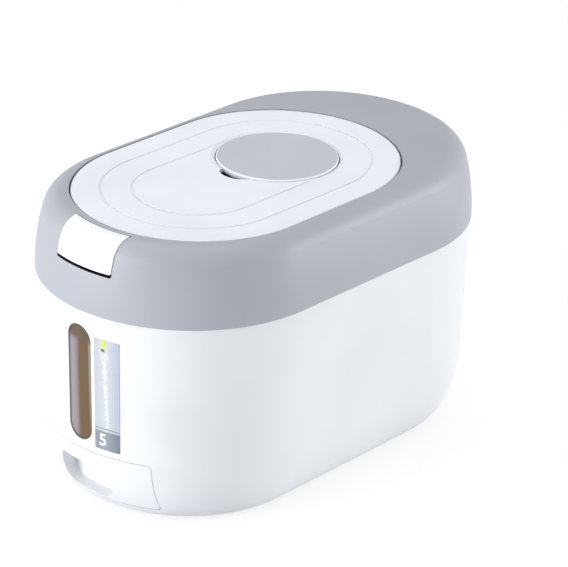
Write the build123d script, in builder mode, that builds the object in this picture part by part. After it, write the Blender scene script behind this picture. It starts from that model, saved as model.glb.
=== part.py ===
from build123d import *
from math import asin, cos, degrees, radians, sin, sqrt
import os

# Rice dispenser: a white tub with a grey collar, a hinged lid with a stored measuring cup,
# a press latch, a sight window and a shallow drawer at the foot of the front.
# Millimetres. X runs across, Y from the front (-) to the back (+), Z up from the base.
# The origin is under the middle of the base. The front and back are half rounds.

os.makedirs("parts", exist_ok=True)

# ---- Overall size ----
length = 305.0
width = 185.0
height = 180.0
end_radius = width / 2
end_y = length / 2 - end_radius  # the half rounds are centred at y = -end_y and y = end_y

# ---- Clearances ----
pin_clearance = 0.05  # radial, a pin in its hole
seat_gap = 0.2  # parts that lie on each other but lift apart
slide_gap = 0.4  # parts that slide past each other
soft_gap = 0.4  # a seal beside a wall that it only brushes
joint_gap = 0.1  # a pane or rim in its own frame

# ---- Tub ----
tub_wall = 2.5
tub_step = 0.6  # the tub's face stands this far inside the collar's edge
tub_draft = 0.02  # the wall leans in by this share of the height towards the foot
collar_height = 47.0
seam_z = height - collar_height  # bottom edge of the collar
seam_gap = 0.4  # shadow line between tub and collar
foot_width = 19.0  # the wall rounds in to the base by this much
foot_height = 45.0  # over this height
neck_height = 11.5  # the part of the tub inside the collar
neck_gap = 0.3
tub_radius = end_radius - tub_step
foot_x = tub_radius - tub_draft * (seam_z - foot_height) - foot_width
neck_top = seam_z + neck_height

# ---- Collar ----
latch_proud = 0.3  # the latch's skin stands this far outside the collar's
collar_top = height - latch_proud
collar_wall = 2.5
side_radius = 140.0  # slow curve of the collar's side
shoulder_radius = 14.0
side_turn = degrees(asin((collar_top - seam_z - shoulder_radius) / (side_radius - shoulder_radius)))
shoulder_x = end_radius - side_radius + (side_radius - shoulder_radius) * cos(radians(side_turn))
shoulder_z = collar_top - shoulder_radius

# ---- Lid plan ----
side_deck = 17.0  # lid edge to the side of the bin
front_deck = 23.0
rear_deck = 61.5
lid_gap = 0.9
lid_drop = 0.2  # the lid's face lies this far below the top of the collar
lid_thickness = 3.0
lid_edge_chamfer = 1.0
lid_radius = end_radius - side_deck
lid_front_y = -length / 2 + front_deck + lid_radius  # centres of the lid's half rounds
lid_rear_y = length / 2 - rear_deck - lid_radius
lid_top = collar_top - lid_drop
lid_under = lid_top - lid_thickness
opening_radius = lid_radius + lid_gap

# ---- Lid seat in the collar ----
recess_wall = 2.0
recess_depth = 10.0
ledge_thickness = 2.5
throat_inset = 9.0  # the throat's wall inside the edge of the opening
throat_wall = 2.0
throat_depth = 10.0
ledge_top = collar_top - recess_depth
throat_radius = opening_radius - throat_inset

# ---- Lid hinge, under the rear deck ----
hinge_setback = 24.0  # the pin behind the lid's rear edge
hinge_depth = 7.5  # the pin below the top of the collar
hinge_pin_radius = 1.5
hinge_arm_half = 11.0
hinge_arm_thickness = 4.5
hinge_spoke_angle = 82.0  # the arm leaves the pin this far below straight forward
hinge_spoke_half = 3.0
hinge_eye_radius = 4.0
hinge_corner_gap = 1.2  # arm to the edge of the deck as it swings past
hinge_flange_lift = 2.0  # the arm's flange above the ledge
hinge_flange = 2.2
hinge_flange_side = 8.5  # the flange reaches past the arm by this much on each side
hinge_flange_front = 1.6
hinge_flange_rear = 1.0
hinge_screw_side = 4.8  # screw centres past the arm's sides
hinge_y = lid_rear_y + lid_radius + hinge_setback
hinge_z = collar_top - hinge_depth
pocket_gap = 0.6
pocket_wall = 2.0

# ---- Cup and its well ----
disc_radius = 37.6
disc_gap = 0.8
disc_proud = 0.5
disc_edge = 1.0
cup_base_radius = 34.0
cup_mouth_radius = 35.4
cup_wall = 1.6
cup_height = 43.0
well_wall = 1.6
well_gap = 0.9
well_floor_gap = 1.5
well_seat = 4.6  # thickness of the well's rim, which the disc rests on
well_rim = 9.4  # the rim reaches past the disc by this much
disc_y = lid_rear_y  # the disc shares the centre of the lid's rear half round
disc_top = lid_top + disc_proud
cup_flange = disc_top - lid_under - seat_gap
ring_radius = disc_radius + 3.0  # shallow step in the lid round the disc
ring_depth = 0.5
notch_half = 11.0
notch_reach = 7.0
notch_depth = 6.0
groove_width = 1.7
groove_depth = 0.8
outer_groove_inset = 17.5
inner_groove_inset = 36.5

# ---- Lid liner and seal ----
plug_gap = 2.3
plug_wall = 2.0
plug_plate = 2.0
plug_plate_z = ledge_top - 3.7
lid_seal_bottom = ledge_top - 8.7
lid_seal_height = 5.0

# ---- Latch ----
latch_half = 22.0
latch_wall = 2.0
latch_height = 19.5
latch_corner = 0.8
latch_edge_gap = 0.6
latch_rear_gap = 0.9
latch_lower_gap = 2.0
latch_strip = 3.6  # strip of collar between the lid and the latch
latch_pin_radius = 1.2
latch_pin_inset = 13.5  # behind the front of the bin
latch_pin_depth = 14.0  # below the top of the bin
latch_lug_radius = 3.0
latch_lug_x = 17.0
latch_lug_width = 3.0
latch_floor = 2.0
latch_floor_drop = 3.0  # the pocket's floor below the edge of the cut
catch_half = 8.0
catch_gap = 0.2
catch_lift = 0.6  # bottom of the tongue above the ledge
catch_inset = 1.8  # front of the tongue behind the edge of the lid
catch_foot = 6.0
tongue_thickness = 2.0
barb_reach = 1.6
barb_height = 1.7
hook_thickness = 2.2
hook_web = 2.4
hook_web_inset = 4.0  # front of the web in front of the skin's rear edge
latch_y = -length / 2 + latch_pin_inset
latch_z = collar_top - latch_pin_depth
latch_bottom = collar_top - latch_height
latch_floor_z = latch_bottom - latch_lower_gap - latch_floor_drop  # top of the pocket's floor
latch_cut_radius = opening_radius + latch_strip
latch_spring_radius = 1.9
latch_spring_wire = 0.7
latch_spring_y = latch_y - 4.0
latch_spring_top = latch_z + 2.3

# ---- Sight window and level label ----
window_width = 18.8
window_bottom = 47.0
window_top = seam_z - 10.0
window_recess = 0.5
window_thickness = 1.6
window_flange = 2.6
seal_thickness = 0.6
label_from = 12.2  # along the round of the front, from the middle
label_to = 29.6
label_bottom = 45.7
label_top = seam_z - 14.4
label_thickness = 0.3

# ---- Hopper floor ----
hopper_plate = 2.0
hopper_front_z = 44.0
hopper_rear_z = 84.0
outlet_half = 28.0
outlet_inset = 40.5  # from the front of the bin
outlet_length = 46.0
outlet_land = 11.0  # level floor behind the outlet
outlet_lip = 0.5
outlet_front_y = -length / 2 + outlet_inset
outlet_rear_y = outlet_front_y + outlet_length
hopper_bend_y = outlet_rear_y + outlet_land

# ---- Drawer ----
drawer_half = 46.0
drawer_bottom = 8.0
drawer_top = 41.0
drawer_corner = 3.0
drawer_gap = 0.4
drawer_panel = 2.5
tray_half = drawer_half - 3.0
tray_wall = 1.8
tray_inset = 21.0  # front of the tray behind the front of the bin
tray_length = 84.5
tray_rim_drop = 1.6
tray_front_y = -length / 2 + tray_inset
tray_rear_y = tray_front_y + tray_length
shutter_half = tray_half - 7.0
shutter_thickness = 1.4
shutter_tail = 93.0
shutter_lip = 10.0
shutter_overlap = 4.0
shutter_rear_y = tray_rear_y + shutter_tail
pull_half = 20.5
pull_bottom = 10.0
pull_top = 31.5
pull_inset = 18.0  # back of the finger pull behind the front of the bin
pull_wall = 1.6
pull_top_corner = 5.0
pull_low_corner = 9.0
drawer_screw_x = 25.5
drawer_screw_z = 24.0
screw_radius = 1.25
screw_head_radius = 2.4
screw_head = 1.4
screw_length = 5.6
boss_radius = 3.2

# ---- Drawer runners ----
rail_half = tray_half - 5.0
rail_width = 8.5
rail_guide_height = 18.0
rail_length = 162.0
rail_front_y = outlet_front_y
rail_rear_y = rail_front_y + rail_length
stop_thickness = 3.0

reach = length  # longer than any cut has to be
right_angle = 90.0


def side_x(z):
    """Half width of the collar's side at height z, below its shoulder."""
    return end_radius - side_radius + sqrt(side_radius**2 - (z - seam_z) ** 2)


def wall_x(z):
    """Half width of the tub's wall at height z, above its rounded foot."""
    return tub_radius - tub_draft * (seam_z - z)


def tub_section(inset, top):
    """Half section of the tub's outside moved in by inset and cut level at top."""
    with BuildSketch(Plane.XZ) as section:
        with BuildLine():
            EllipticalCenterArc(
                (foot_x, foot_height), foot_width - inset, foot_height - inset,
                -right_angle, arc_size=right_angle,
            )
            Polyline(
                (wall_x(foot_height) - inset, foot_height),
                (wall_x(top) - inset, top),
                (0, top),
                (0, inset),
                (foot_x, inset),
            )
        make_face()
    return section.sketch.face()


def collar_section(inset, bottom):
    """Half section of the collar's outside moved in by inset, from the given bottom up."""
    side_start = degrees(asin((bottom - seam_z) / (side_radius - inset)))
    start_x = end_radius - side_radius + (side_radius - inset) * cos(radians(side_start))
    with BuildSketch(Plane.XZ) as section:
        with BuildLine():
            CenterArc(
                (end_radius - side_radius, seam_z), side_radius - inset, side_start, side_turn - side_start
            )
            CenterArc(
                (shoulder_x, shoulder_z), shoulder_radius - inset, side_turn, right_angle - side_turn
            )
            Polyline(
                (shoulder_x, collar_top - inset), (0, collar_top - inset), (0, bottom), (start_x, bottom)
            )
        make_face()
    return section.sketch.face()


def round_ended(section, y_front, y_rear):
    """The upright body whose half section is given and whose plan has two half-round ends."""
    with BuildPart() as body:
        for y, turn in ((y_rear, 1), (y_front, -1)):
            revolve(section.moved(Location((0, y, 0))), Axis((0, y, 0), (0, 0, turn)), 180)
        for half in (section, section.mirror(Plane.YZ)):
            extrude(half.moved(Location((0, y_front, 0))), y_rear - y_front, dir=(0, 1, 0))
    return body.part


def slot_prism(radius, y_front, y_rear, bottom, top, mode=Mode.ADD):
    """Upright prism between two heights whose plan has two half-round ends."""
    with BuildSketch(Plane.XY.offset(bottom)) as plan:
        with Locations((0, (y_front + y_rear) / 2)):
            SlotCenterToCenter(y_rear - y_front, 2 * radius, rotation=90)
    extrude(plan.sketch, top - bottom, mode=mode)


def block(low, high, mode=Mode.ADD):
    """Box between its lowest and highest corners."""
    size = [b - a for a, b in zip(low, high)]
    with Locations(low):
        Box(*size, align=(Align.MIN, Align.MIN, Align.MIN), mode=mode)


def front_cut(full_width, bottom, top, corner, mode=Mode.SUBTRACT):
    """Rounded rectangle on the middle of the front, driven through the front wall."""
    with BuildSketch(Plane.XZ.offset(end_y)) as outline:
        with Locations((0, (bottom + top) / 2)):
            RectangleRounded(full_width, top - bottom, corner)
    extrude(outline.sketch, reach, mode=mode)


def front_slot(grow, mode=Mode.SUBTRACT):
    """The window's round-ended shape, grown all round, driven through the front wall."""
    full_height = window_top - window_bottom + 2 * grow
    full_width = window_width + 2 * grow
    with BuildSketch(Plane.XZ.offset(end_y)) as outline:
        with Locations((0, (window_bottom + window_top) / 2)):
            SlotOverall(full_height, full_width, rotation=90)
    extrude(outline.sketch, reach, mode=mode)


def front_band(outer_inset, inner_inset, bottom, top):
    """Full-round band of the tub's front wall between two insets."""
    middle = (0, -end_y, bottom)
    keep = (Align.CENTER, Align.CENTER, Align.MIN)
    with Locations(middle):
        Cone(wall_x(bottom) - outer_inset, wall_x(top) - outer_inset, top - bottom, align=keep)
        Cone(
            wall_x(bottom) - inner_inset, wall_x(top) - inner_inset, top - bottom,
            align=keep, mode=Mode.SUBTRACT,
        )


def finish(piece, name):
    """Names a finished piece and writes it."""
    piece.part.label = name
    export_step(piece.part, f"parts/{name}.step")


# ---- Envelopes that several pieces are cut from ----
tub_outside = round_ended(tub_section(0, seam_z - seam_gap), -end_y, end_y)
tub_inside = round_ended(tub_section(tub_wall, seam_z - seam_gap - tub_wall), -end_y, end_y)
hopper_envelope = round_ended(tub_section(tub_wall + slide_gap, seam_z), -end_y, end_y)
panel_back = round_ended(tub_section(drawer_panel, seam_z), -end_y, end_y)
tray_outside = round_ended(tub_section(drawer_panel + joint_gap, seam_z), -end_y, end_y)
tray_inside = round_ended(tub_section(drawer_panel + joint_gap + tray_wall, seam_z), -end_y, end_y)
collar_outside = round_ended(collar_section(0, seam_z), -end_y, end_y)
collar_inside = round_ended(collar_section(collar_wall, seam_z), -end_y, end_y)
collar_middle = round_ended(collar_section(collar_wall / 2, seam_z), -end_y, end_y)
latch_face = round_ended(collar_section(-latch_proud, seam_z), -end_y, end_y)
latch_back = round_ended(collar_section(latch_wall - latch_proud, seam_z), -end_y, end_y)

# ---- Tub: one moulding with a neck that fits inside the collar ----
neck_radius = side_x(neck_top) - collar_wall - neck_gap
neck_bore = neck_radius - tub_wall
with BuildPart() as tub:
    add(tub_outside)
    slot_prism(neck_radius, -end_y, end_y, seam_z - tub_wall, neck_top)
    add(tub_inside, mode=Mode.SUBTRACT)
    slot_prism(neck_bore, -end_y, end_y, seam_z - 3 * tub_wall, neck_top, mode=Mode.SUBTRACT)
    front_slot(joint_gap)
    front_cut(
        2 * (drawer_half + drawer_gap),
        drawer_bottom - drawer_gap,
        drawer_top + drawer_gap,
        drawer_corner + drawer_gap,
    )
finish(tub, "tub")

# ---- Hopper floor: a level plate over the drawer with its outlet, then a ramp to the back ----
with BuildPart() as hopper_floor:
    with BuildSketch(Plane.YZ.offset(-end_radius)):
        Polygon(
            (-length / 2, hopper_front_z - hopper_plate),
            (hopper_bend_y, hopper_front_z - hopper_plate),
            (length / 2, hopper_rear_z - hopper_plate),
            (length / 2, hopper_rear_z),
            (hopper_bend_y, hopper_front_z),
            (-length / 2, hopper_front_z),
            align=None,
        )
    extrude(amount=width)
    block(
        (-outlet_half - hopper_plate, outlet_front_y - hopper_plate, hopper_front_z - hopper_plate - outlet_lip),
        (outlet_half + hopper_plate, outlet_rear_y + hopper_plate, hopper_front_z),
    )
    add(hopper_envelope, mode=Mode.INTERSECT)
    block((-outlet_half, outlet_front_y, 0), (outlet_half, outlet_rear_y, height), mode=Mode.SUBTRACT)
finish(hopper_floor, "hopper_floor")

# ---- Drawer runners: an L-shaped rail each side, and a stop bar between them ----
tray_bottom = drawer_bottom + drawer_gap + seat_gap
rail_top = tray_bottom - seat_gap
for side, name in ((-1, "drawer_rail_left"), (1, "drawer_rail_right")):
    with BuildPart() as rail:
        with BuildSketch(Plane.XZ.offset(-rail_rear_y)):
            Polygon(
                (side * rail_half, tub_wall),
                (side * (rail_half + rail_width), tub_wall),
                (side * (rail_half + rail_width), rail_top + rail_guide_height),
                (side * (tray_half + slide_gap), rail_top + rail_guide_height),
                (side * (tray_half + slide_gap), rail_top),
                (side * rail_half, rail_top),
                align=None,
            )
        extrude(amount=rail_rear_y - rail_front_y)
    finish(rail, name)

tray_top = drawer_top - tray_rim_drop
stop_rear_y = tray_rear_y + 2 * stop_thickness
with BuildPart() as drawer_stop:
    block(
        (-rail_half, stop_rear_y - stop_thickness, tub_wall),
        (rail_half, stop_rear_y, tray_top - 2 * slide_gap),
    )
finish(drawer_stop, "drawer_stop")

# ---- Drawer front: a piece of the tub's own surface with a moulded finger pull ----
pull_floor_y = -length / 2 + pull_inset
with BuildPart() as drawer_skin:
    add(tub_outside)
    add(panel_back, mode=Mode.SUBTRACT)
    front_cut(2 * drawer_half, drawer_bottom, drawer_top, drawer_corner, mode=Mode.INTERSECT)
pull_middle = (pull_bottom + pull_top) / 2
pull_height = pull_top - pull_bottom


def pull_prism(grow, back_y, mode=Mode.ADD):
    """The finger pull's outline, rounder below than on top, from the front to back_y."""
    with BuildSketch(Plane.XZ.offset(-back_y)) as outline:
        with Locations((0, pull_middle)):
            Rectangle(2 * (pull_half + grow), pull_height + 2 * grow)
        fillet(outline.vertices().sort_by(Axis.Y)[:2], pull_low_corner)
        fillet(outline.vertices().sort_by(Axis.Y)[-2:], pull_top_corner)
    extrude(outline.sketch, reach, mode=mode)


with BuildPart() as pull_shell:
    pull_prism(pull_wall, pull_floor_y + pull_wall)
    add(tub_outside, mode=Mode.INTERSECT)
with BuildPart() as pull_bosses:
    with BuildSketch(Plane.XZ.offset(-tray_front_y)):
        with Locations((-drawer_screw_x, drawer_screw_z), (drawer_screw_x, drawer_screw_z)):
            Circle(boss_radius)
    extrude(amount=reach)
    add(tub_outside, mode=Mode.INTERSECT)
with BuildPart() as drawer_front:
    add(drawer_skin.part)
    add(pull_shell.part)
    add(pull_bosses.part)
    pull_prism(0, pull_floor_y, mode=Mode.SUBTRACT)
    with BuildSketch(Plane.XZ.offset(-tray_front_y)):
        with Locations((-drawer_screw_x, drawer_screw_z), (drawer_screw_x, drawer_screw_z)):
            Circle(screw_radius)
    extrude(amount=screw_length - tray_wall, mode=Mode.SUBTRACT)
finish(drawer_front, "drawer_front")

# ---- Drawer tray: an open box whose front corners follow the round of the bin ----
with BuildPart() as tray_hollow:
    block(
        (-tray_half + tray_wall, tray_front_y + tray_wall, tray_bottom + tray_wall),
        (tray_half - tray_wall, tray_rear_y - tray_wall, tray_top),
    )
    add(tray_inside, mode=Mode.INTERSECT)
with BuildPart() as drawer_tray:
    block((-tray_half, tray_front_y, tray_bottom), (tray_half, tray_rear_y, tray_top))
    add(tray_outside, mode=Mode.INTERSECT)
    add(tray_hollow.part, mode=Mode.SUBTRACT)
    with BuildSketch(Plane.XZ.offset(-tray_front_y - tray_wall)):
        with Locations((-drawer_screw_x, drawer_screw_z), (drawer_screw_x, drawer_screw_z)):
            Circle(screw_radius)
    extrude(amount=tray_wall, mode=Mode.SUBTRACT)
finish(drawer_tray, "drawer_tray")

# ---- Shutter: a tail behind the tray that closes the outlet while the drawer is out ----
with BuildPart() as shutter_plate:
    block(
        (-shutter_half, tray_rear_y - shutter_overlap, tray_top),
        (shutter_half, shutter_rear_y, tray_top + shutter_thickness),
    )
    block(
        (-shutter_half, shutter_rear_y - shutter_thickness, tray_top - shutter_lip),
        (shutter_half, shutter_rear_y, tray_top),
    )
finish(shutter_plate, "shutter_plate")


def screw(axis_plane, head_height, shank_length):
    """Pan-head screw: head above the plane, shank below it."""
    with BuildSketch(axis_plane) as head:
        Circle(screw_head_radius)
    extrude(head.sketch, head_height)
    with BuildSketch(axis_plane) as shank:
        Circle(screw_radius)
    extrude(shank.sketch, -shank_length)


with BuildPart() as drawer_screws:
    for x in (-drawer_screw_x, drawer_screw_x):
        seat = Plane((x, tray_front_y + tray_wall, drawer_screw_z), x_dir=(1, 0, 0), z_dir=(0, 1, 0))
        screw(seat, screw_head, screw_length)
finish(drawer_screws, "drawer_screws")

# ---- Sight window: a clear pane with a flange behind the wall, and its seal ----
pane_back = tub_wall + seal_thickness + window_thickness
with BuildPart() as window_boss:
    front_band(window_recess, pane_back, window_bottom, window_top)
    front_slot(0, mode=Mode.INTERSECT)
with BuildPart() as sight_window:
    front_band(
        tub_wall + seal_thickness, pane_back, window_bottom - window_flange, window_top + window_flange
    )
    front_slot(window_flange, mode=Mode.INTERSECT)
    add(window_boss.part)
finish(sight_window, "sight_window")

with BuildPart() as window_seal:
    front_band(
        tub_wall + joint_gap, tub_wall + seal_thickness,
        window_bottom - window_flange, window_top + window_flange,
    )
    front_slot(window_flange, mode=Mode.INTERSECT)
    front_slot(joint_gap)
finish(window_seal, "window_seal")

# ---- Level label: a thin film on the round of the front, beside the window ----
label_turn = degrees((label_to - label_from) / tub_radius)
label_start = label_from / tub_radius
label_edge = Plane(
    (0, -end_y, 0),
    x_dir=(sin(label_start), -cos(label_start), 0),
    z_dir=(-cos(label_start), -sin(label_start), 0),
)
with BuildPart() as level_label:
    with BuildSketch(label_edge):
        Polygon(
            (wall_x(label_bottom), label_bottom),
            (wall_x(label_bottom) + label_thickness, label_bottom),
            (wall_x(label_top) + label_thickness, label_top),
            (wall_x(label_top), label_top),
            align=None,
        )
    revolve(axis=Axis((0, -end_y, 0), (0, 0, 1)), revolution_arc=label_turn)
finish(level_label, "level_label")

# ---- Collar: skirt, shoulder and deck, with the lid's seat, hinge pocket and latch pocket ----
gasket_thickness = 1.5
landing_z = neck_top + gasket_thickness
pocket_half = hinge_arm_half + pocket_gap
corner_run = hinge_setback - lid_gap
corner_radius = sqrt(corner_run**2 + hinge_depth**2)
arm_inner = corner_radius + hinge_corner_gap
arm_outer = arm_inner + hinge_arm_thickness
pocket_front_y = hinge_y - arm_outer - joint_gap - seat_gap
pocket_rear_y = hinge_y + hinge_eye_radius + pocket_gap
pocket_floor_z = hinge_z - arm_outer - pocket_gap
latch_pocket_half = latch_half + pocket_gap
latch_pocket_rear_y = lid_front_y - opening_radius - latch_strip
catch_z = ledge_top + catch_lift
catch_y = lid_front_y - lid_radius + catch_inset
with BuildPart() as collar_inner:
    slot_prism(end_radius, -end_y, end_y, landing_z, landing_z + collar_wall)
    slot_prism(neck_bore, -end_y, end_y, landing_z, landing_z + collar_wall, mode=Mode.SUBTRACT)
    seat_outer = opening_radius + recess_wall
    slot_prism(seat_outer, lid_front_y, lid_rear_y, ledge_top - ledge_thickness, height)
    slot_prism(throat_radius + throat_wall, lid_front_y, lid_rear_y, ledge_top - throat_depth, ledge_top)
    block(
        (-pocket_half - pocket_wall, pocket_front_y - pocket_wall, pocket_floor_z - pocket_wall),
        (pocket_half + pocket_wall, pocket_rear_y + pocket_wall, height),
    )
    block(
        (-latch_pocket_half - pocket_wall, -length / 2, latch_floor_z - latch_floor),
        (latch_pocket_half + pocket_wall, latch_pocket_rear_y + pocket_wall, height),
    )
    add(collar_middle, mode=Mode.INTERSECT)
with BuildPart() as latch_cut:
    front_cut(
        2 * (latch_half + latch_edge_gap),
        latch_bottom - latch_lower_gap,
        2 * height,
        latch_corner + latch_edge_gap,
        mode=Mode.ADD,
    )
    with Locations((0, lid_front_y, 0)):
        Cylinder(latch_cut_radius, 4 * height, mode=Mode.SUBTRACT)
    block(
        (-end_radius, latch_pocket_rear_y, 0),
        (end_radius, 0, collar_top - collar_wall - latch_proud),
        mode=Mode.SUBTRACT,
    )
with BuildPart() as latch_room:
    block(
        (-latch_pocket_half, -length / 2 + collar_wall, latch_floor_z),
        (latch_pocket_half, latch_pocket_rear_y, height),
    )
    add(collar_inside, mode=Mode.INTERSECT)
with BuildPart() as collar:
    add(collar_outside)
    add(collar_inside, mode=Mode.SUBTRACT)
    add(collar_inner.part)
    slot_prism(opening_radius, lid_front_y, lid_rear_y, ledge_top, 2 * height, mode=Mode.SUBTRACT)
    slot_prism(throat_radius, lid_front_y, lid_rear_y, landing_z, height, mode=Mode.SUBTRACT)
    block(
        (-pocket_half, pocket_front_y, pocket_floor_z),
        (pocket_half, pocket_rear_y, collar_top - collar_wall),
        mode=Mode.SUBTRACT,
    )
    add(latch_room.part, mode=Mode.SUBTRACT)
    add(latch_cut.part, mode=Mode.SUBTRACT)
    block(
        (-catch_half - latch_edge_gap, latch_pocket_rear_y - pocket_wall, ledge_top),
        (catch_half + latch_edge_gap, lid_front_y, lid_under),
        mode=Mode.SUBTRACT,
    )
    with BuildSketch(Plane.YZ.offset(-pocket_half - pocket_wall)):
        with Locations((hinge_y, hinge_z)):
            Circle(hinge_pin_radius + pin_clearance)
    extrude(amount=2 * (pocket_half + pocket_wall), mode=Mode.SUBTRACT)
    with BuildSketch(Plane.YZ.offset(-latch_pocket_half - pocket_wall)):
        with Locations((latch_y, latch_z)):
            Circle(latch_pin_radius + pin_clearance)
    extrude(amount=2 * (latch_pocket_half + pocket_wall), mode=Mode.SUBTRACT)
finish(collar, "collar")

# ---- Collar gasket: a flat ring on the rim of the tub's neck ----
with BuildPart() as collar_gasket:
    slot_prism(neck_radius - neck_gap, -end_y, end_y, neck_top, landing_z)
    slot_prism(neck_bore + neck_gap, -end_y, end_y, neck_top, landing_z, mode=Mode.SUBTRACT)
finish(collar_gasket, "collar_gasket")

# ---- Lid panel: the white plate with two moulded grooves and the hole for the cup ----
boss_half = hinge_arm_half + hinge_flange_side
arm_flange_z = ledge_top + hinge_flange_lift
arm_boss_z = arm_flange_z + hinge_flange
arm_boss_front_y = hinge_y - arm_outer - hinge_flange_front
arm_boss_rear_y = lid_rear_y + sqrt(lid_radius**2 - boss_half**2) - hinge_flange_rear
hinge_screw_x = hinge_arm_half + hinge_screw_side
hinge_screw_y = (arm_boss_front_y + arm_boss_rear_y) / 2
with BuildPart() as lid_panel:
    slot_prism(lid_radius, lid_front_y, lid_rear_y, lid_under, lid_top)
    chamfer(lid_panel.faces().sort_by(Axis.Z)[0].outer_wire().edges(), lid_edge_chamfer)
    fillet(lid_panel.faces().sort_by(Axis.Z)[-1].outer_wire().edges(), lid_edge_chamfer)
    for inset in (outer_groove_inset, inner_groove_inset):
        middle = lid_radius - inset
        with BuildSketch(Plane.XY.offset(lid_top)):
            with Locations((0, (lid_front_y + lid_rear_y) / 2)):
                SlotCenterToCenter(lid_rear_y - lid_front_y, 2 * middle + groove_width, rotation=90)
                SlotCenterToCenter(
                    lid_rear_y - lid_front_y, 2 * middle - groove_width, rotation=90, mode=Mode.SUBTRACT
                )
        extrude(amount=-groove_depth, mode=Mode.SUBTRACT)
    with Locations((0, disc_y, lid_top)):
        Cylinder(ring_radius, 2 * ring_depth, mode=Mode.SUBTRACT)
        Cylinder(disc_radius + disc_gap, 4 * lid_thickness, mode=Mode.SUBTRACT)
    with BuildSketch(Plane.XY.offset(lid_top)):
        with Locations((0, disc_y - disc_radius)):
            Ellipse(notch_half, notch_reach)
    extrude(amount=-notch_depth, mode=Mode.SUBTRACT)
    block((-boss_half, arm_boss_front_y, arm_boss_z), (boss_half, arm_boss_rear_y, lid_under))
    with Locations((-hinge_screw_x, hinge_screw_y, arm_boss_z), (hinge_screw_x, hinge_screw_y, arm_boss_z)):
        Cylinder(screw_radius, 2 * (screw_length - hinge_flange), mode=Mode.SUBTRACT)
finish(lid_panel, "lid_panel")

# ---- Cup well: an open-topped can under the lid, with a rim that the disc rests on ----
well_radius = cup_mouth_radius + well_gap
well_outer = well_radius + well_wall
cup_rim_z = disc_top - cup_height
well_floor = cup_rim_z - well_floor_gap
with BuildPart() as cup_well:
    with Locations((0, disc_y, well_floor - well_wall)):
        Cylinder(
            well_outer, lid_under - well_floor + well_wall,
            align=(Align.CENTER, Align.CENTER, Align.MIN),
        )
    with Locations((0, disc_y, lid_under)):
        Cylinder(disc_radius + well_rim, well_seat, align=(Align.CENTER, Align.CENTER, Align.MAX))
    with Locations((0, disc_y, well_floor)):
        Cylinder(well_radius, height, align=(Align.CENTER, Align.CENTER, Align.MIN), mode=Mode.SUBTRACT)
    with BuildSketch(Plane.XY.offset(lid_top)):
        with Locations((0, disc_y - disc_radius)):
            Ellipse(notch_half, notch_reach)
    extrude(amount=-notch_depth, mode=Mode.SUBTRACT)
finish(cup_well, "cup_well")

# ---- Lid liner: a pan under the lid that closes round the cup well, with the ring for the seal ----
plug_radius = throat_radius - plug_gap
with BuildPart() as lid_liner:
    slot_prism(plug_radius, lid_front_y, lid_rear_y, lid_seal_bottom - plug_plate, lid_under)
    for bottom, top in ((lid_seal_bottom - plug_plate, plug_plate_z), (plug_plate_z + plug_plate, lid_under)):
        slot_prism(plug_radius - plug_wall, lid_front_y, lid_rear_y, bottom, top, mode=Mode.SUBTRACT)
    with Locations((0, disc_y, plug_plate_z)):
        Cylinder(well_outer + joint_gap, 4 * plug_plate, mode=Mode.SUBTRACT)
finish(lid_liner, "lid_liner")

# ---- Lid seal: a soft ring round the plug of the liner ----
seal_outer = throat_radius - soft_gap
with BuildPart() as lid_gasket:
    seal_top = lid_seal_bottom + lid_seal_height
    slot_prism(seal_outer, lid_front_y, lid_rear_y, lid_seal_bottom, seal_top)
    slot_prism(plug_radius, lid_front_y, lid_rear_y, lid_seal_bottom, seal_top, mode=Mode.SUBTRACT)
finish(lid_gasket, "lid_gasket")

# ---- Catch: the tongue under the front of the lid that the latch holds down ----
with BuildPart() as catch_tongue:
    with BuildSketch(Plane.YZ.offset(-catch_half)):
        Polygon(
            (catch_y + catch_foot, lid_under),
            (catch_y, lid_under),
            (catch_y, catch_z + barb_height),
            (catch_y - barb_reach, catch_z + barb_height),
            (catch_y, catch_z),
            (catch_y + tongue_thickness, catch_z),
            (catch_y + tongue_thickness, lid_under - tongue_thickness),
            (catch_y + catch_foot, lid_under - tongue_thickness),
            align=None,
        )
    extrude(amount=2 * catch_half)
finish(catch_tongue, "catch_tongue")

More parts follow.
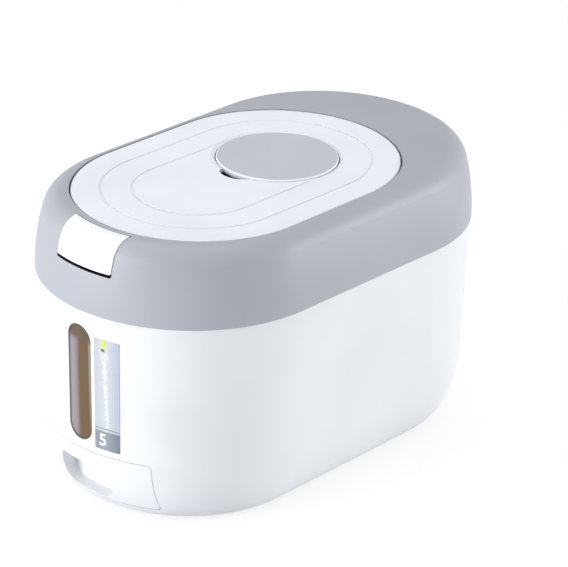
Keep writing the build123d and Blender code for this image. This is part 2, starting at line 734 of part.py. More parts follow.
# ---- Hinge arm: a gooseneck that passes round the edge of the deck as the lid opens ----
with BuildPart() as hinge_arm:
    with BuildSketch(Plane.YZ.offset(-hinge_arm_half)):
        with BuildLine():
            outer_arc = CenterArc((hinge_y, hinge_z), arm_outer, 180, hinge_spoke_angle)
            inner_arc = CenterArc((hinge_y, hinge_z), arm_inner, 180, hinge_spoke_angle)
            Line(outer_arc @ 0, inner_arc @ 0)
            Line(outer_arc @ 1, inner_arc @ 1)
        make_face()
        with Locations(Location((hinge_y, hinge_z), 180 + hinge_spoke_angle)):
            Rectangle(arm_outer - 0.5, 2 * hinge_spoke_half, align=(Align.MIN, Align.CENTER))
        with Locations((hinge_y, hinge_z)):
            Circle(hinge_eye_radius)
        with Locations((hinge_y - arm_outer, hinge_z)):
            Rectangle(
                hinge_arm_thickness, arm_boss_z - hinge_z, align=(Align.MIN, Align.MIN)
            )
    extrude(amount=2 * hinge_arm_half)
    block((-boss_half, arm_boss_front_y, arm_flange_z), (boss_half, arm_boss_rear_y, arm_boss_z))
    with BuildSketch(Plane.YZ.offset(-hinge_arm_half)):
        with Locations((hinge_y, hinge_z)):
            Circle(hinge_pin_radius + pin_clearance)
    extrude(amount=2 * hinge_arm_half, mode=Mode.SUBTRACT)
    spring_room_half = hinge_arm_half / 2
    with BuildSketch(Plane.YZ.offset(-spring_room_half)):
        with Locations((hinge_y, hinge_z)):
            Circle(hinge_eye_radius + 1.5)
    extrude(amount=2 * spring_room_half, mode=Mode.SUBTRACT)
    with Locations(
        (-hinge_screw_x, hinge_screw_y, arm_flange_z), (hinge_screw_x, hinge_screw_y, arm_flange_z)
    ):
        Cylinder(screw_radius, 4 * hinge_flange, mode=Mode.SUBTRACT)
finish(hinge_arm, "hinge_arm")

with BuildPart() as hinge_screws:
    for x in (-hinge_screw_x, hinge_screw_x):
        seat = Plane((x, hinge_screw_y, arm_flange_z), z_dir=(0, 0, -1))
        screw(seat, screw_head, screw_length)
finish(hinge_screws, "hinge_screws")

# ---- Pins ----
with BuildPart() as hinge_pin:
    with BuildSketch(Plane.YZ.offset(-pocket_half - pocket_wall)):
        with Locations((hinge_y, hinge_z)):
            Circle(hinge_pin_radius)
    extrude(amount=2 * (pocket_half + pocket_wall))
finish(hinge_pin, "hinge_pin")

with BuildPart() as latch_pin:
    with BuildSketch(Plane.YZ.offset(-latch_pocket_half - pocket_wall)):
        with Locations((latch_y, latch_z)):
            Circle(latch_pin_radius)
    extrude(amount=2 * (latch_pocket_half + pocket_wall))
finish(latch_pin, "latch_pin")

# ---- Springs: a torsion spring on the hinge pin, a compression spring under the latch ----
spring_wire = 0.9
spring_radius = hinge_pin_radius + 1.2
spring_turns = 7
with BuildPart() as lid_spring:
    with BuildLine() as coil:
        Helix(
            1.2 * spring_wire, spring_turns * 1.2 * spring_wire, spring_radius,
            center=(-spring_turns * 0.6 * spring_wire, hinge_y, hinge_z), direction=(1, 0, 0),
        )
    with BuildSketch(Plane(coil.line @ 0, z_dir=coil.line % 0)):
        Circle(spring_wire / 2)
    sweep(path=coil.line, is_frenet=True)
finish(lid_spring, "lid_spring")

latch_spring_height = latch_spring_top - latch_floor_z
latch_spring_turns = 8
with BuildPart() as latch_spring:
    with BuildLine() as coil:
        Helix(
            latch_spring_height / latch_spring_turns, latch_spring_height, latch_spring_radius,
            center=(0, latch_spring_y, latch_floor_z + latch_spring_wire / 2),
        )
    with BuildSketch(Plane(coil.line @ 0, z_dir=coil.line % 0)):
        Circle(latch_spring_wire / 2)
    sweep(path=coil.line, is_frenet=True)
finish(latch_spring, "latch_spring")

# ---- Latch button: a rocker whose skin continues the collar's shoulder ----
hook_tip_y = catch_y - barb_reach - catch_gap
hook_z = catch_z + barb_height + catch_gap
latch_edge_radius = latch_cut_radius + latch_rear_gap
with BuildPart() as latch_skin:
    add(latch_face)
    add(latch_back, mode=Mode.SUBTRACT)
    front_cut(2 * latch_half, latch_bottom, 2 * height, latch_corner, mode=Mode.INTERSECT)
    with Locations((0, lid_front_y, 0)):
        Cylinder(latch_edge_radius, 4 * height, mode=Mode.SUBTRACT)
with BuildPart() as latch_ribs:
    for x in (-latch_lug_x - latch_lug_width, latch_lug_x):
        block(
            (x, latch_y - latch_lug_radius, latch_z),
            (x + latch_lug_width, latch_y + latch_lug_radius, height),
        )
        with BuildSketch(Plane.YZ.offset(x)):
            with Locations((latch_y, latch_z)):
                Circle(latch_lug_radius)
        extrude(amount=latch_lug_width)
    post_z = latch_spring_top + latch_spring_wire + joint_gap
    with Locations((0, latch_spring_y, post_z)):
        Cylinder(latch_spring_radius, height - post_z, align=(Align.CENTER, Align.CENTER, Align.MIN))
    web_front_y = lid_front_y - latch_edge_radius - hook_web_inset
    block((-catch_half, web_front_y, hook_z), (catch_half, web_front_y + hook_web, height))
    block((-catch_half, web_front_y, hook_z), (catch_half, hook_tip_y, hook_z + hook_thickness))
    add(latch_face, mode=Mode.INTERSECT)
with BuildPart() as latch_button:
    add(latch_skin.part)
    add(latch_ribs.part)
    with BuildSketch(Plane.YZ.offset(-latch_half)):
        with Locations((latch_y, latch_z)):
            Circle(latch_pin_radius + pin_clearance)
    extrude(amount=2 * latch_half, mode=Mode.SUBTRACT)
finish(latch_button, "latch_button")

# ---- Measuring cup: stored mouth down, so its base is the disc in the lid ----
with BuildPart() as measuring_cup:
    with BuildSketch(Plane.XZ.offset(-disc_y)):
        with BuildLine():
            Polyline(
                (0, disc_top),
                (disc_radius, disc_top),
                (disc_radius, disc_top - cup_flange),
                (cup_base_radius, disc_top - cup_flange),
                (cup_mouth_radius, cup_rim_z),
                (cup_mouth_radius - cup_wall, cup_rim_z),
                (cup_base_radius - cup_wall, disc_top - cup_flange),
                (0, disc_top - cup_flange),
                close=True,
            )
        make_face()
    revolve(axis=Axis((0, disc_y, 0), (0, 0, 1)))
    fillet(measuring_cup.faces().sort_by(Axis.Z)[-1].edges(), disc_edge)
finish(measuring_cup, "measuring_cup")
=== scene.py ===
from math import cos, hypot, radians, sin

import bpy
from mathutils import Matrix, Vector


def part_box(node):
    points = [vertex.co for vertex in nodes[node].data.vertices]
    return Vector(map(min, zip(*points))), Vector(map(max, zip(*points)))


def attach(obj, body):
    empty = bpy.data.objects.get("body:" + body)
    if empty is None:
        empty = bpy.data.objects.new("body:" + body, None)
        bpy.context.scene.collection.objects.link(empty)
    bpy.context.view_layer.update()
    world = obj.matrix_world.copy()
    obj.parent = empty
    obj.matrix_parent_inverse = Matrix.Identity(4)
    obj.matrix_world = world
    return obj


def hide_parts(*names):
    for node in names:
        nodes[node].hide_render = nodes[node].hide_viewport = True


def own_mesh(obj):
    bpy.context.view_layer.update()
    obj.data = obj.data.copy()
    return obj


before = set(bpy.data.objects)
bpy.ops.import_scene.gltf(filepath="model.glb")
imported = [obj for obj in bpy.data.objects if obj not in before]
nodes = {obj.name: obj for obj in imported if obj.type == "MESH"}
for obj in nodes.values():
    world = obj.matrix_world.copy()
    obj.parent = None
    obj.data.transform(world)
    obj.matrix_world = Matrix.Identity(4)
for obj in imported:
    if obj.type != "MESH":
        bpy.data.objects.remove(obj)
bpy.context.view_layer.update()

# ---- Tub: one deep moulding of white polypropylene ----
# Injection moulded in a spark-eroded tool, so it is satin and evenly white, with a very
# fine even texture and slow swells where the thick wall shrank.
PP_IOR = 1.49
SPARK_GRAIN_MM = 0.9  # a real texture of this kind is 0.1 mm, too fine to show
SPARK_GRAIN_DEPTH_MM = 0.03
SHRINK_SWELL_MM = 55.0
SHRINK_SWELL_DEPTH_MM = 0.4
MILKY_DEPTH_MM = 4.0  # how far light wanders in the milky kinds
GLOSS_SPREAD = 0.05
MM = 0.001


def linear(hex_code):
    """An sRGB hex colour as the linear values that a shader takes."""
    channels = [int(hex_code[i : i + 2], 16) / 255 for i in (1, 3, 5)]
    return [c / 12.92 if c <= 0.04045 else ((c + 0.055) / 1.055) ** 2.4 for c in channels] + [1.0]


def add(tree, kind, links=(), **settings):
    """Adds a shader node. Settings that name an input go to its socket, the rest to the node."""
    node = tree.nodes.new(kind)
    for key, value in settings.items():
        if hasattr(node, key):
            setattr(node, key, value)
        else:
            node.inputs[key.replace("_", " ")].default_value = value
    for socket, source in links:
        tree.links.new(source, node.inputs[socket])
    return node


def new_finish(name):
    """A new material, with its node tree and its shader."""
    material = bpy.data.materials.new(name)
    material.use_nodes = True
    return material, material.node_tree, material.node_tree.nodes["Principled BSDF"]


def noise(tree, where, size_mm, detail):
    """A noise whose patches are this big."""
    return add(
        tree, "ShaderNodeTexNoise", [("Vector", where)], Scale=1 / (size_mm * MM), Detail=detail
    ).outputs["Fac"]


def uneven_gloss(tree, shader, pattern, smoothest, roughest):
    """Roughness that goes from one value to the other with a pattern."""
    gloss = add(tree, "ShaderNodeMapRange", [("Value", pattern)], To_Min=smoothest, To_Max=roughest)
    tree.links.new(gloss.outputs["Result"], shader.inputs["Roughness"])


def moulded(name, colour, rough, grain=0.25, swell=0.10, milky=0.0, mottle=0.02):
    """Moulded thermoplastic: spark-eroded grain, slow shrink marks and a faint change of shade."""
    material, tree, shader = new_finish(name)
    shader.inputs["IOR"].default_value = PP_IOR
    where = add(tree, "ShaderNodeTexCoord").outputs["Object"]
    fine = noise(tree, where, SPARK_GRAIN_MM, 3.0)
    slow = noise(tree, where, SHRINK_SWELL_MM, 1.0)
    shade = add(tree, "ShaderNodeValToRGB", [("Fac", slow)])
    tint = linear(colour)
    stops = ((0.35, 1 - mottle), (0.65, 1 + mottle))
    for stop, (position, lift) in zip(shade.color_ramp.elements, stops):
        stop.position = position
        stop.color = [min(1.0, c * lift) for c in tint[:3]] + [1.0]
    tree.links.new(shade.outputs["Color"], shader.inputs["Base Color"])
    uneven_gloss(tree, shader, fine, rough - GLOSS_SPREAD, rough + GLOSS_SPREAD)
    swells = add(
        tree, "ShaderNodeBump", [("Height", slow)],
        Strength=swell, Distance=SHRINK_SWELL_DEPTH_MM * MM,
    )
    texture = add(
        tree, "ShaderNodeBump", [("Height", fine), ("Normal", swells.outputs["Normal"])],
        Strength=grain, Distance=SPARK_GRAIN_DEPTH_MM * MM,
    )
    tree.links.new(texture.outputs["Normal"], shader.inputs["Normal"])
    if milky:
        shader.inputs["Subsurface Weight"].default_value = milky
        shader.inputs["Subsurface Radius"].default_value = [MILKY_DEPTH_MM * MM] * 3
        shader.inputs["Subsurface Scale"].default_value = 1.0
    return material


def dress(material, *names):
    """Gives CAD nodes one material in every slot."""
    for name in names:
        mesh = nodes[name].data
        mesh.materials.clear()
        mesh.materials.append(material)


dress(moulded("white_polypropylene", "#EAECEF", 0.38), "tub", "drawer_front")

# ---- Inner mouldings: hopper floor, drawer tray, runners and the lid's liner ----
# Plain natural polypropylene from polished tools, a little duller and greyer than the
# outside, since nobody looks at it.
dress(
    moulded("natural_polypropylene", "#DDE0E4", 0.5),
    "hopper_floor", "drawer_tray", "drawer_rail_left", "drawer_rail_right", "drawer_stop",
    "shutter_plate", "lid_liner", "catch_tongue", "hinge_arm",
)

# ---- Collar: the grey moulding with skirt, shoulder and deck ----
# Grey polypropylene with the same spark-eroded texture, a little coarser than the tub's,
# so it looks more matt and its highlights are wide. The ledges inside the latch's pocket
# face up into its gap and are painted near black: painted shade, deep in the pocket.
POCKET_SHADE_BELOW_MM = 0.5  # the painted shade starts this far below the latch's lower edge
POCKET_SHADE_ASIDE_MM = 1.0  # and reaches this far past its sides
POCKET_SHADE_FACING_UP = 0.7  # it lies on faces whose normal rises by more than this


def calc(tree, operation, first, second=None):
    """A math node's value. Each operand is a socket or a number."""
    node = add(tree, "ShaderNodeMath", operation=operation)
    for socket, operand in zip(node.inputs, (first, second)):
        if isinstance(operand, (int, float)):
            socket.default_value = operand
        elif operand is not None:
            tree.links.new(operand, socket)
    return node.outputs["Value"]


def blend(tree, factor, below, above):
    """Colour above laid over colour below by factor. Each colour is a socket or a hex colour."""
    node = add(tree, "ShaderNodeMix", [("Factor", factor)], data_type="RGBA")
    for socket, colour in (("A", below), ("B", above)):
        if isinstance(colour, str):
            node.inputs[socket].default_value = linear(colour)
        else:
            tree.links.new(colour, node.inputs[socket])
    return node.outputs["Result"]


def position(tree):
    """The node that splits a point's place into X, Y and Z, in metres."""
    where = add(tree, "ShaderNodeTexCoord").outputs["Object"]
    return add(tree, "ShaderNodeSeparateXYZ", [("Vector", where)])


latch_low, latch_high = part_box("latch_button")
collar_paint = moulded("grey_polypropylene", "#ADB0B8", 0.46, grain=0.35)
tree = collar_paint.node_tree
shader = tree.nodes["Principled BSDF"]
shade = shader.inputs["Base Color"].links[0].from_socket
place = position(tree)
normal = add(tree, "ShaderNodeNewGeometry").outputs["Normal"]
facing = add(tree, "ShaderNodeSeparateXYZ", [("Vector", normal)])
# Painted shade: faces inside the latch's pocket that look up are coloured near black.
painted_pocket_shade = calc(tree, "GREATER_THAN", facing.outputs["Z"], POCKET_SHADE_FACING_UP)
for source, side, limit in (
    (place.outputs["Z"], "LESS_THAN", latch_low[2] - POCKET_SHADE_BELOW_MM * MM),
    (place.outputs["Y"], "LESS_THAN", latch_high[1]),
    (place.outputs["X"], "LESS_THAN", latch_high[0] + POCKET_SHADE_ASIDE_MM * MM),
    (place.outputs["X"], "GREATER_THAN", latch_low[0] - POCKET_SHADE_ASIDE_MM * MM),
):
    painted_pocket_shade = calc(tree, "MULTIPLY", painted_pocket_shade, calc(tree, side, source, limit))
tree.links.new(blend(tree, painted_pocket_shade, shade, "#1A1A1C"), shader.inputs["Base Color"])
dress(collar_paint, "collar")

# ---- Lid panel and latch button ----
# White polypropylene from one batch, a little glossier than the tub. The panel is let into
# the collar, and the button is a thin skin over the collar's front shoulder.
dress(moulded("white_lid_polypropylene", "#F1F3FB", 0.34), "lid_panel", "latch_button")

# ---- Cup well: the socket under the lid that the measuring cup stands in ----
# Polypropylene from a polished tool, pressed up into the lid panel, coloured charcoal as
# painted shade. With the lid shut it shows as a dark line round the disc and as the dark
# bottom of the finger notch, where shade falls.
dress(moulded("charcoal_painted_shade_polypropylene", "#2E2E30", 0.5), "cup_well")

# ---- Measuring cup, whose base is the grey disc in the lid ----
# Pale grey polypropylene with a white ring painted round the edge of its base, a painted
# highlight for the light on the rounded edge, so a white line runs round the disc. The cup
# is dropped into its well and held by nothing.
HIGHLIGHT_RIM_WIDTH_MM = 0.65


def diagonal(tree, first, second):
    """The length of the diagonal over two distances."""
    squares = [calc(tree, "MULTIPLY", distance, distance) for distance in (first, second)]
    return calc(tree, "SQRT", calc(tree, "ADD", *squares))


cup_low, cup_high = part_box("measuring_cup")
cup_radius = (cup_high[0] - cup_low[0]) / 2
cup_paint = moulded("cup_polypropylene", "#C3C6CF", 0.42)
tree = cup_paint.node_tree
shader = tree.nodes["Principled BSDF"]
shade = shader.inputs["Base Color"].links[0].from_socket
place = position(tree)
off_axis = calc(tree, "SUBTRACT", place.outputs["Y"], (cup_low[1] + cup_high[1]) / 2)
radius = diagonal(tree, place.outputs["X"], off_axis)
# Painted highlight: a thin white ring round the outside of the disc.
on_painted_rim_highlight = calc(tree, "GREATER_THAN", radius, cup_radius - HIGHLIGHT_RIM_WIDTH_MM * MM)
tree.links.new(blend(tree, on_painted_rim_highlight, shade, "#F4F5F9"), shader.inputs["Base Color"])
dress(cup_paint, "measuring_cup")

# ---- Seals: the rings at the lid, the collar and the window ----
# Cast silicone, pressed into its groove by hand. It is matt, soft-looking and slightly
# translucent.
dress(
    moulded("silicone_rubber", "#CBCDD1", 0.62, milky=0.15),
    "lid_gasket", "collar_gasket", "window_seal",
)

# ---- Pins, screws and springs ----
# Steel wire drawn through a die, cut to length and wound or threaded. It is bright, with
# fine draw lines along it, so its highlights are streaked.
DRAW_LINE_MM = 0.25
DRAW_LINE_SQUEEZE = 0.1  # the lines are ten times as long as they are wide
STEEL_GLOSS_SPREAD = 0.08


def drawn_steel(name, colour, rough):
    """Bright drawn steel wire with draw lines along X."""
    material, tree, shader = new_finish(name)
    shader.inputs["Base Color"].default_value = linear(colour)
    shader.inputs["Metallic"].default_value = 1.0
    where = add(tree, "ShaderNodeTexCoord").outputs["Object"]
    along = add(tree, "ShaderNodeMapping", [("Vector", where)], Scale=(DRAW_LINE_SQUEEZE, 1.0, 1.0))
    lines = noise(tree, along.outputs["Vector"], DRAW_LINE_MM, 2.0)
    uneven_gloss(tree, shader, lines, rough - STEEL_GLOSS_SPREAD, rough + STEEL_GLOSS_SPREAD)
    return material


steel = drawn_steel("drawn_steel_wire", "#C4C4C6", 0.28)
dress(
    steel, "hinge_pin", "latch_pin", "hinge_screws", "drawer_screws", "lid_spring", "latch_spring"
)

# ---- Latch coil: the compression spring under the latch button ----
# The same steel wire, wound as a coil. It stands on the pocket's floor, and the button
# shortens it as it is pressed. This copy of the coil is fixed to the bin, with a mesh of its own.
coil_mesh = nodes["latch_spring"].data.copy()
coil_mesh.name = "latch_coil"
latch_coil = bpy.data.objects.new("latch_coil", coil_mesh)
bpy.context.scene.collection.objects.link(latch_coil)
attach(latch_coil, "bin")
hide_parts("latch_spring")
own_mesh(latch_coil)

# ---- Sight window: a smoke-brown clear pane let into the tub ----
# Moulded clear styrene with a brown tint, polished outside. Light and shade are painted
# into its colour: a painted dark edge round the thick rim, a painted reflection of the room
# as a pale streak down the left, and painted shade of the collar over its top end.
STYRENE_IOR = 1.59
PANE_SHEEN = 0.33
PANE_ROUGHNESS = 0.3
STREAK_WIDTH_MM = 5.0
STREAK_LENGTH_MM = 60.0
STREAK_WANDER = 0.14
EDGE_MM = 1.3
LEFT_EDGE_SHARE = 0.7  # the painted edge shade is this dark down the left, and full dark round the ends
RIGHT_EDGE_SHARE = 0.35  # and this dark down the right, where the light falls on it
ROUND_END_SHARE = 0.5  # the dark ends start this far up the round of the pane's ends
PANE_FLANGE_MM = 2.6  # hidden behind the wall, all round


def ramp(tree, source, stops):
    """A colour ramp over source, with its stops given as (position, hex colour)."""
    node = add(tree, "ShaderNodeValToRGB", [("Fac", source)])
    elements = node.color_ramp.elements
    while len(elements) < len(stops):
        elements.new(0.5)
    for element, (position, colour) in zip(elements, stops):
        element.position = position
        element.color = linear(colour)
    return node.outputs["Color"]


pane_low, pane_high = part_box("sight_window")
seen_half = (pane_high[0] - pane_low[0]) / 2 - PANE_FLANGE_MM * MM
middle_z = (pane_low[2] + pane_high[2]) / 2
straight_half = (pane_high[2] - pane_low[2]) / 2 - PANE_FLANGE_MM * MM - seen_half
pane, tree, shader = new_finish("brown_clear_styrene")
shader.inputs["IOR"].default_value = STYRENE_IOR
shader.inputs["Specular IOR Level"].default_value = PANE_SHEEN
shader.inputs["Roughness"].default_value = PANE_ROUGHNESS
where = add(tree, "ShaderNodeTexCoord").outputs["Object"]
place = position(tree)
upright = add(
    tree, "ShaderNodeMapping", [("Vector", where)], Scale=(1, 1, STREAK_WIDTH_MM / STREAK_LENGTH_MM)
)
reflection_streaks = noise(tree, upright.outputs["Vector"], STREAK_WIDTH_MM, 3.0)
wander = calc(tree, "MULTIPLY", calc(tree, "SUBTRACT", reflection_streaks, 0.5), STREAK_WANDER)
across = calc(tree, "DIVIDE", calc(tree, "ADD", place.outputs["X"], seen_half), 2 * seen_half)
# Brown tint with painted reflection: grey and mauve-grey down the left, and a painted highlight of
# light grey at the right edge.
tint = ramp(tree, calc(tree, "ADD", across, wander), [
    (0.04, "#8A8A8A"), (0.14, "#918C8F"), (0.30, "#8F8588"), (0.40, "#7F6F64"), (0.50, "#644E2D"),
    (0.76, "#67502D"), (0.88, "#614D33"), (0.95, "#948D88"),
])
up = calc(tree, "SUBTRACT", place.outputs["Z"], middle_z)
head = calc(tree, "DIVIDE", up, 2 * (straight_half + seen_half))
# Painted shade: the top end of the pane is darker where the collar shades it.
shade = ramp(tree, head, [(0.34, "#000000"), (0.40, "#FFFFFF")])
body = blend(tree, shade, tint, "#5E4E3A")
rise = calc(tree, "MAXIMUM", calc(tree, "SUBTRACT", calc(tree, "ABSOLUTE", up), straight_half), 0.0)
from_middle = diagonal(tree, place.outputs["X"], rise)
# Painted shade: a dark band round the thick rim, darkest round the ends and down the left.
at_edge = calc(tree, "GREATER_THAN", from_middle, seen_half - EDGE_MM * MM)
on_left = calc(tree, "LESS_THAN", place.outputs["X"], 0.0)
at_end = calc(tree, "GREATER_THAN", rise, ROUND_END_SHARE * seen_half)
left_depth = calc(tree, "MULTIPLY", on_left, LEFT_EDGE_SHARE)
depth = calc(tree, "MAXIMUM", calc(tree, "MAXIMUM", left_depth, at_end), RIGHT_EDGE_SHARE)
painted_edge_shade = calc(tree, "MULTIPLY", at_edge, depth)
tree.links.new(blend(tree, painted_edge_shade, body, "#4B4642"), shader.inputs["Base Color"])
dress(pane, "sight_window")

# ---- Level label: printed film stuck beside the window ----
# Pearly blue-white film, die cut and bent round the tub's front. A grey band is printed
# across its foot, with a thin line above it. Their heights are taken from the floor.
PEARL_MM = 6.0
FILM_SMOOTHEST, FILM_ROUGHEST = 0.25, 0.4
BAND_TOP_MM = 58.3
LINE_FROM_MM, LINE_TO_MM = 59.6, 60.3
label_low, label_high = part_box("level_label")
label, tree, shader = new_finish("printed_level_film")
where = add(tree, "ShaderNodeTexCoord").outputs["Object"]
place = position(tree)
uneven_gloss(tree, shader, noise(tree, where, PEARL_MM, 2.0), FILM_SMOOTHEST, FILM_ROUGHEST)
from_left = calc(tree, "SUBTRACT", place.outputs["X"], label_low[0])
across = calc(tree, "DIVIDE", from_left, label_high[0] - label_low[0])
# Painted shading: film and band are lightest a little left of the middle and darker towards both
# sides, most at the right.
film_painted_shading = ramp(tree, across, [(0.1, "#BCC3CA"), (0.45, "#CBD2D8"), (0.9, "#B6BDCC")])
band_painted_shading = ramp(tree, across, [(0.1, "#8C919D"), (0.45, "#969CA8"), (0.9, "#7B818D")])
printed = blend(tree, calc(tree, "LESS_THAN", place.outputs["Z"], BAND_TOP_MM * MM), film_painted_shading, band_painted_shading)
above_foot = calc(tree, "GREATER_THAN", place.outputs["Z"], LINE_FROM_MM * MM)
below_top = calc(tree, "LESS_THAN", place.outputs["Z"], LINE_TO_MM * MM)
in_line = calc(tree, "MULTIPLY", above_foot, below_top)
tree.links.new(blend(tree, in_line, printed, "#8A909C"), shader.inputs["Base Color"])
dress(label, "level_label")

# ---- Print on the label: a plain scale of numerals, and a coloured full mark ----
# Screen-printed ink, a few hundredths of a millimetre proud of the film, and bent round the
# front with it. It is matt and has hardly any texture of its own.
INK_MM = 0.06
STROKE_SWELL = 0.02  # the ink spreads by this share of a numeral's height
tub_low, tub_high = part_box("tub")
round_y = tub_low[1] + (tub_high[0] - tub_low[0]) / 2  # the front half round is centred here
film_mesh = nodes["level_label"].data
reaches = [(v.co.z, hypot(v.co.x, v.co.y - round_y)) for v in film_mesh.vertices]
foot_reach = max(r for z, r in reaches if z < label_low[2] + MM)
head_reach = max(r for z, r in reaches if z > label_high[2] - MM)
lean = (head_reach - foot_reach) / (label_high[2] - label_low[2])


def ink(name, mesh, arc_mm, z_mm, paint):
    """Bends a flat piece of ink on to the film at a place along the round and a height."""
    for vertex in mesh.vertices:
        z = z_mm * MM + vertex.co.y
        out = foot_reach + lean * (z - label_low[2]) + vertex.co.z
        turn = (arc_mm * MM + vertex.co.x) / head_reach
        vertex.co = (out * sin(turn), round_y - out * cos(turn), z)
    mesh.materials.clear()
    mesh.materials.append(paint)
    piece = bpy.data.objects.new(name, mesh)
    bpy.context.scene.collection.objects.link(piece)
    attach(piece, "bin")


def numeral(text, size_mm):
    """A numeral as a flat mesh, centred, as thick as the ink."""
    curve = bpy.data.curves.new("numeral_" + text, "FONT")
    curve.body = text
    curve.size = size_mm * MM
    curve.extrude = INK_MM * MM / 2
    curve.offset = STROKE_SWELL * size_mm * MM
    curve.align_x = "CENTER"
    curve.align_y = "CENTER"
    shape = bpy.data.objects.new("numeral_" + text, curve)
    bpy.context.scene.collection.objects.link(shape)
    bpy.context.view_layer.update()
    mesh = bpy.data.meshes.new_from_object(shape.evaluated_get(bpy.context.evaluated_depsgraph_get()))
    bpy.data.objects.remove(shape)
    return mesh


def bar(width_mm, height_mm):
    """A flat rectangle of ink, centred."""
    x, y, z = (value * MM / 2 for value in (width_mm, height_mm, INK_MM))
    corners = [(a * x, b * y, c * z) for c in (-1, 1) for a, b in ((-1, -1), (1, -1), (1, 1), (-1, 1))]
    faces = [(3, 2, 1, 0), (4, 5, 6, 7)] + [(i, (i + 1) % 4, (i + 1) % 4 + 4, i + 4) for i in range(4)]
    mesh = bpy.data.meshes.new("ink_bar")
    mesh.from_pydata(corners, [], faces)
    return mesh


white_ink = moulded("white_screen_ink", "#F6F8FB", 0.4, grain=0.1)
lime_ink = moulded("lime_screen_ink", "#D3DC7A", 0.4, grain=0.1)
dark_ink = moulded("dark_screen_ink", "#6E6C7C", 0.4, grain=0.1)
SCALE_ARC_MM = 20.4  # from the middle of the front, along the round
SCALE_ROWS = 10
SCALE_LEAN_MM = 2.4  # its foot lies this much farther round than its head
SCALE_TOP_MM, SCALE_STEP_MM = 107.6, 4.95
SCALE_NUMERAL_MM = 5.8
MARK_ARC_MM = SCALE_ARC_MM - 1.8
FULL_MARK_HEIGHT_MM = 115.9
DOT_HEIGHT_MM = 111.9
CAPACITY_ARC_MM = SCALE_ARC_MM - 2.6
CAPACITY_HEIGHT_MM = 52.0
CAPACITY_NUMERAL_MM = 11.0
for row in range(SCALE_ROWS):
    number = SCALE_ROWS - row
    row_z = SCALE_TOP_MM - row * SCALE_STEP_MM
    row_arc = SCALE_ARC_MM + SCALE_LEAN_MM * (row / SCALE_ROWS - 0.5)
    shape = numeral(str(number), SCALE_NUMERAL_MM)
    ink(f"scale_numeral_{number}", shape, row_arc, row_z, white_ink)
ink("full_mark", bar(4.0, 5.0), MARK_ARC_MM, FULL_MARK_HEIGHT_MM, lime_ink)
ink("full_mark_dot", bar(2.2, 1.8), MARK_ARC_MM, DOT_HEIGHT_MM, dark_ink)
capacity = numeral("5", CAPACITY_NUMERAL_MM)
ink("capacity_numeral", capacity, CAPACITY_ARC_MM, CAPACITY_HEIGHT_MM, white_ink)

# ---- Floor, light and camera ----
# A plain white floor, three soft boxes at the front left, the rear right and above, and
# the camera at the photograph's viewing angle.
FLOOR_HALF = 6.0  # metres
corners = [(x * FLOOR_HALF, y * FLOOR_HALF, 0) for x, y in ((-1, -1), (1, -1), (1, 1), (-1, 1))]
floor_mesh = bpy.data.meshes.new("studio_floor")
floor_mesh.from_pydata(corners, [], [(0, 1, 2, 3)])
floor = bpy.data.objects.new("studio_floor", floor_mesh)
bpy.context.scene.collection.objects.link(floor)
floor_paint = bpy.data.materials.new("studio_white")
floor_paint.use_nodes = True
tree = floor_paint.node_tree
tree.nodes.clear()
rays = add(tree, "ShaderNodeLightPath")
seen = calc(tree, "MAXIMUM", rays.outputs["Is Camera Ray"], rays.outputs["Is Glossy Ray"])
seen = calc(tree, "MAXIMUM", seen, rays.outputs["Is Transmission Ray"])
SHADOW_SHARE = 0.4  # this much of the seen floor is the matt paint, which takes the shadow
FLOOR_GLOW = 1.2  # the rest shines this bright, so that both together come out white
matt = add(tree, "ShaderNodeBsdfDiffuse", Color=linear("#E4E6EA"))
bright = add(tree, "ShaderNodeEmission", Color=(1, 1, 1, 1), Strength=FLOOR_GLOW)
share = calc(tree, "MULTIPLY", seen, 1 - SHADOW_SHARE)
paint = add(tree, "ShaderNodeMixShader", [("Fac", share)])
tree.links.new(matt.outputs["BSDF"], paint.inputs[1])
tree.links.new(bright.outputs["Emission"], paint.inputs[2])
add(tree, "ShaderNodeOutputMaterial", [("Surface", paint.outputs["Shader"])])
floor_mesh.materials.append(floor_paint)

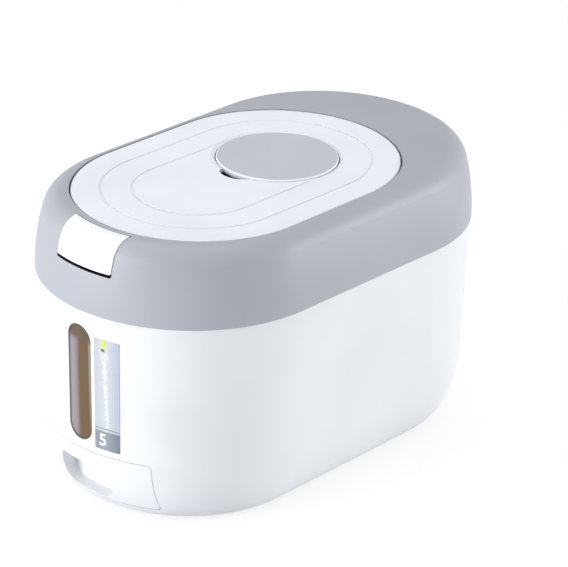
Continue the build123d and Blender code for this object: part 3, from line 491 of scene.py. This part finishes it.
world = bpy.data.worlds.new("studio_air")
bpy.context.scene.world = world
world.use_nodes = True
tree = world.node_tree
sky = tree.nodes["Background"]
rays = add(tree, "ShaderNodeLightPath")
WORLD_LIGHT = 0.62  # and 1, plain white, where the camera sees it
level = add(
    tree, "ShaderNodeMapRange", [("Value", rays.outputs["Is Camera Ray"])],
    To_Min=WORLD_LIGHT, To_Max=1.0,
)
sky.inputs["Color"].default_value = (1, 1, 1, 1)
tree.links.new(level.outputs["Result"], sky.inputs["Strength"])
AIM = Vector((0, 0, 0.09))  # the object's middle


def lamp(name, place, watts, size):
    """A square soft box that faces the object."""
    data = bpy.data.lights.new(name, "AREA")
    data.energy = watts
    data.size = size
    light = bpy.data.objects.new(name, data)
    light.location = place
    light.visible_camera = False
    light.rotation_mode = "QUATERNION"
    light.rotation_quaternion = (AIM - Vector(place)).to_track_quat("-Z", "Y")
    bpy.context.scene.collection.objects.link(light)


lamp("front_left_soft_box", (-0.55, -1.5, 0.45), 17.0, 0.8)
lamp("rear_right_soft_box", (1.15, 1.15, 0.32), 12.5, 0.8)
lamp("top_soft_box", (-0.2, 0.1, 1.6), 4.8, 1.0)

PHOTO_WIDTH, PHOTO_HEIGHT = 568, 567
SENSOR_MM = 36.0
CAMERA_AZIMUTH = 42.759
CAMERA_ELEVATION = 25.749
CAMERA_ROLL = 1.408
CAMERA_DISTANCE = 1.8034
FOCAL_PX = 2910.16
CENTRE_PX = (256.55, 296.27)
camera_data = bpy.data.cameras.new("photo_camera")
camera = bpy.data.objects.new("photo_camera", camera_data)
bpy.context.scene.collection.objects.link(camera)
bpy.context.scene.camera = camera
camera_data.sensor_width = SENSOR_MM
camera_data.lens = FOCAL_PX * SENSOR_MM / PHOTO_WIDTH
camera_data.shift_x = (PHOTO_WIDTH / 2 - CENTRE_PX[0]) / PHOTO_WIDTH
camera_data.shift_y = (CENTRE_PX[1] - PHOTO_HEIGHT / 2) / PHOTO_WIDTH
azimuth, elevation, roll = (radians(a) for a in (CAMERA_AZIMUTH, CAMERA_ELEVATION, CAMERA_ROLL))
back = Vector((sin(azimuth) * cos(elevation), -cos(azimuth) * cos(elevation), sin(elevation)))
across = Vector((cos(azimuth), sin(azimuth), 0))
above = back.cross(across)
right = across * cos(roll) + above * sin(roll)
above = back.cross(right)
camera.matrix_world = Matrix(
    [(*row, place) for row, place in zip(zip(right, above, back), AIM + back * CAMERA_DISTANCE)]
    + [(0, 0, 0, 1)]
)
bpy.context.scene.view_settings.view_transform = "Standard"
